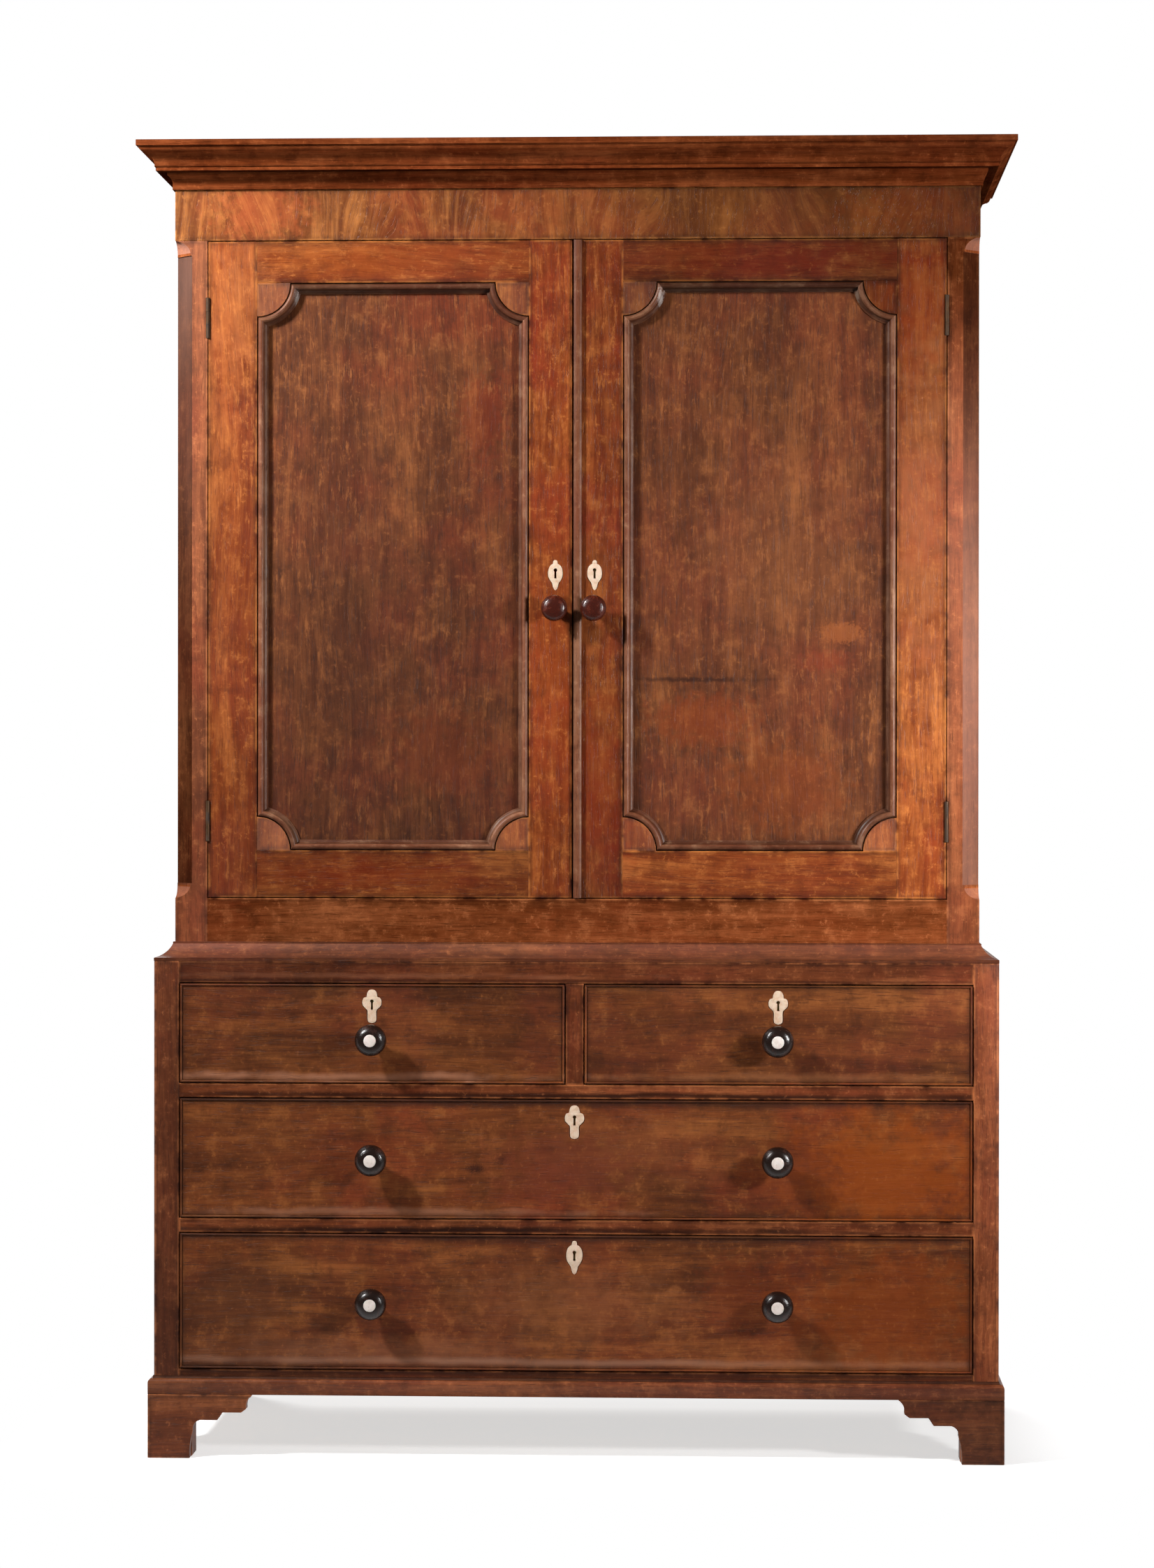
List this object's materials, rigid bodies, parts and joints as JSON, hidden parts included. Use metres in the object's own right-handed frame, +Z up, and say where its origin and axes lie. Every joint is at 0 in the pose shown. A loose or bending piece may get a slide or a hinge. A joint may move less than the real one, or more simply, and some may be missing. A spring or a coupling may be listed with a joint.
{
  "type": "linen press",
  "caption": "Two-part linen press: a shelved cupboard with panelled doors under a moulded cornice, on a chest of short and long drawers with bracket feet.",
  "frame": {"origin": "centre of the bounding box at floor level", "axes": "+Z up, the front faces -Y, +X to the right seen from the front"},
  "size_m": [1.304, 0.6048, 1.96],
  "materials": {
    "case_wood": "old polished mahogany, brown-red",
    "door_wood": "old polished mahogany, orange-red",
    "panel_wood": "dark flecked mahogany",
    "drawer_wood": "old polished mahogany, brown",
    "veneer_wood": "crossbanded mahogany veneer",
    "oak_wood": "dry oak, unpolished",
    "pine_wood": "stained pine, unpolished",
    "ebonised_wood": "turned and ebonised, polished",
    "bone": "polished bone",
    "iron": "rubbed black iron",
    "brass": "dull brass"
  },
  "bodies": {
    "carcase": {"chest_sides": "case_wood", "chest_stiles": "case_wood", "chest_rails": "case_wood", "chest_boards": "oak_wood", "drawer_runners": "oak_wood", "chest_back_boards": "pine_wood", "waist_moulding": "case_wood", "base_moulding": "case_wood", "bracket_feet": "case_wood", "press_sides": "case_wood", "press_front_frame": "case_wood", "press_boards": "oak_wood", "press_back_boards": "pine_wood", "frieze": "veneer_wood", "cornice_moulding": "case_wood", "cornice_core": "pine_wood", "shelves": "oak_wood", "case_hinges": "iron"},
    "left_door": {"left_door_frame": "door_wood", "left_door_panel": "panel_wood", "left_door_moulding": "door_wood", "left_door_knob": "ebonised_wood", "left_door_escutcheon": "bone", "left_door_hinges": "iron", "left_door_bolt_guides": "brass"},
    "right_door": {"right_door_frame": "door_wood", "right_door_panel": "panel_wood", "right_door_moulding": "door_wood", "right_door_knob": "ebonised_wood", "right_door_escutcheon": "bone", "right_door_hinges": "iron", "right_door_meeting_bead": "door_wood", "right_door_lock": "brass"},
    "left_door_top_bolt": {"left_door_top_bolt": "brass"},
    "left_door_bottom_bolt": {"left_door_bottom_bolt": "brass"},
    "right_door_lock_bolt": {"right_door_lock_bolt": "brass"},
    "left_short_drawer": {"left_short_drawer_front": "drawer_wood", "left_short_drawer_box": "oak_wood", "left_short_drawer_knobs": "ebonised_wood", "left_short_drawer_bone": "bone", "left_short_drawer_lock": "brass"},
    "left_short_drawer_lock_bolt": {"left_short_drawer_lock_bolt": "brass"},
    "right_short_drawer": {"right_short_drawer_front": "drawer_wood", "right_short_drawer_box": "oak_wood", "right_short_drawer_knobs": "ebonised_wood", "right_short_drawer_bone": "bone", "right_short_drawer_lock": "brass"},
    "right_short_drawer_lock_bolt": {"right_short_drawer_lock_bolt": "brass"},
    "middle_drawer": {"middle_drawer_front": "drawer_wood", "middle_drawer_box": "oak_wood", "middle_drawer_knobs": "ebonised_wood", "middle_drawer_bone": "bone", "middle_drawer_lock": "brass"},
    "middle_drawer_lock_bolt": {"middle_drawer_lock_bolt": "brass"},
    "bottom_drawer": {"bottom_drawer_front": "drawer_wood", "bottom_drawer_box": "oak_wood", "bottom_drawer_knobs": "ebonised_wood", "bottom_drawer_bone": "bone", "bottom_drawer_lock": "brass"},
    "bottom_drawer_lock_bolt": {"bottom_drawer_lock_bolt": "brass"}
  },
  "joints": [
    {"name": "left_door_hinge", "type": "hinge", "parent": "carcase", "child": "left_door", "pos_m": [-0.55125, -0.2302, 1.3245], "axis": [0, 0, -1], "range_deg": [0, 165]},
    {"name": "right_door_hinge", "type": "hinge", "parent": "carcase", "child": "right_door", "pos_m": [0.55125, -0.2302, 1.3245], "axis": [0, 0, 1], "range_deg": [0, 165]},
    {"name": "left_short_drawer_slide", "type": "slide", "parent": "carcase", "child": "left_short_drawer", "axis": [0, -1, 0], "range_m": [0, 0.4]},
    {"name": "right_short_drawer_slide", "type": "slide", "parent": "carcase", "child": "right_short_drawer", "axis": [0, -1, 0], "range_m": [0, 0.4]},
    {"name": "middle_drawer_slide", "type": "slide", "parent": "carcase", "child": "middle_drawer", "axis": [0, -1, 0], "range_m": [0, 0.4]},
    {"name": "bottom_drawer_slide", "type": "slide", "parent": "carcase", "child": "bottom_drawer", "axis": [0, -1, 0], "range_m": [0, 0.4]},
    {"name": "left_short_drawer_lock_throw", "type": "slide", "parent": "left_short_drawer", "child": "left_short_drawer_lock_bolt", "axis": [0, 0, 1], "range_m": [0, 0.008]},
    {"name": "right_short_drawer_lock_throw", "type": "slide", "parent": "right_short_drawer", "child": "right_short_drawer_lock_bolt", "axis": [0, 0, 1], "range_m": [0, 0.008]},
    {"name": "middle_drawer_lock_throw", "type": "slide", "parent": "middle_drawer", "child": "middle_drawer_lock_bolt", "axis": [0, 0, 1], "range_m": [0, 0.008]},
    {"name": "bottom_drawer_lock_throw", "type": "slide", "parent": "bottom_drawer", "child": "bottom_drawer_lock_bolt", "axis": [0, 0, 1], "range_m": [0, 0.008]},
    {"name": "left_door_top_bolt_throw", "type": "slide", "parent": "left_door", "child": "left_door_top_bolt", "axis": [0, 0, 1], "range_m": [0, 0.012]},
    {"name": "left_door_bottom_bolt_throw", "type": "slide", "parent": "left_door", "child": "left_door_bottom_bolt", "axis": [0, 0, -1], "range_m": [0, 0.012]},
    {"name": "right_door_lock_throw", "type": "slide", "parent": "right_door", "child": "right_door_lock_bolt", "axis": [-1, 0, 0], "range_m": [0, 0.008]}
  ]
}
